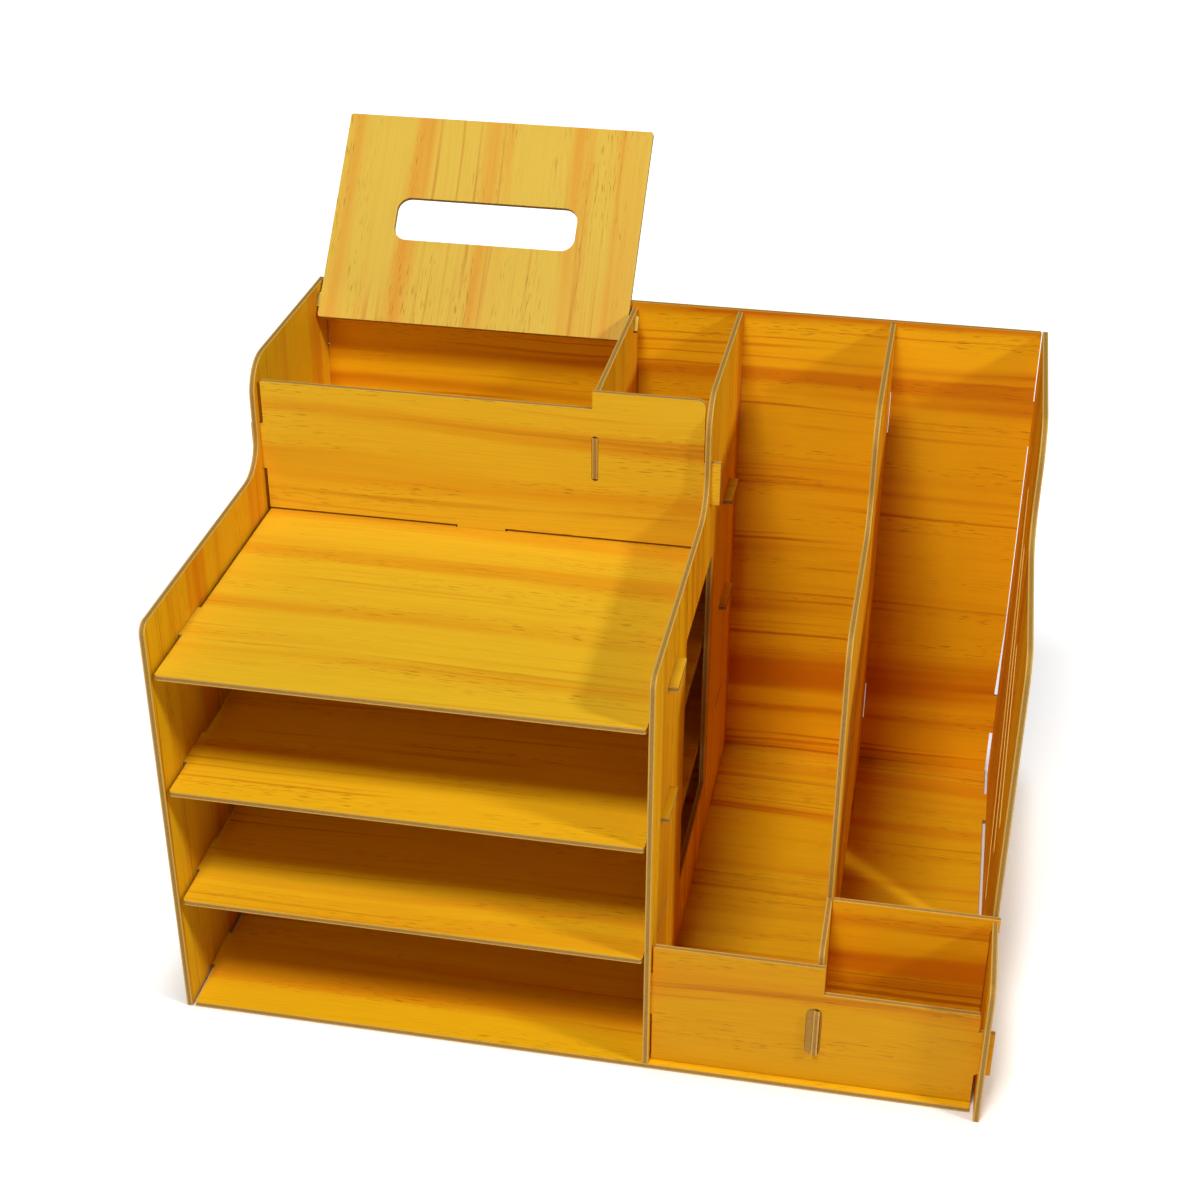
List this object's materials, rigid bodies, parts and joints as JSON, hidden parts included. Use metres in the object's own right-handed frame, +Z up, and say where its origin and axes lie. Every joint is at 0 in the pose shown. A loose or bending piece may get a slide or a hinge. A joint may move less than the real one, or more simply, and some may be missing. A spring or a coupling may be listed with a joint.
{
  "type": "desk organizer",
  "caption": "Slotted wooden desk organizer with shelves for paper, a tissue compartment with a hinged lid, a pen compartment and upright file bays.",
  "frame": {"origin": "on the table under the middle of the footprint", "axes": "+X to the user's right, +Y to the back panel, +Z up"},
  "size_m": [0.4272, 0.3755, 0.3792],
  "materials": {
    "base_panel": "satin",
    "left_side_panel": "satin",
    "centre_panel": "satin",
    "file_divider": "satin",
    "right_side_panel": "satin",
    "back_panel": "satin",
    "lower_shelf": "satin",
    "middle_shelf": "satin",
    "top_shelf": "satin",
    "upper_front_panel": "satin",
    "pen_divider": "satin",
    "tissue_lid": "satin",
    "front_fence": "satin",
    "cross_panel": "satin"
  },
  "bodies": {
    "case": {"base_panel": "base_panel", "left_side_panel": "left_side_panel", "centre_panel": "centre_panel", "file_divider": "file_divider", "right_side_panel": "right_side_panel", "back_panel": "back_panel", "lower_shelf": "lower_shelf", "middle_shelf": "middle_shelf", "top_shelf": "top_shelf", "upper_front_panel": "upper_front_panel", "pen_divider": "pen_divider", "front_fence": "front_fence", "cross_panel": "cross_panel"},
    "lid": {"tissue_lid": "tissue_lid"}
  },
  "joints": [
    {"name": "lid_hinge", "type": "hinge", "parent": "case", "child": "lid", "pos_m": [-0.1156, 0.13664, 0.2919], "axis": [1, 0, 0], "range_deg": [0, 133.19]}
  ]
}
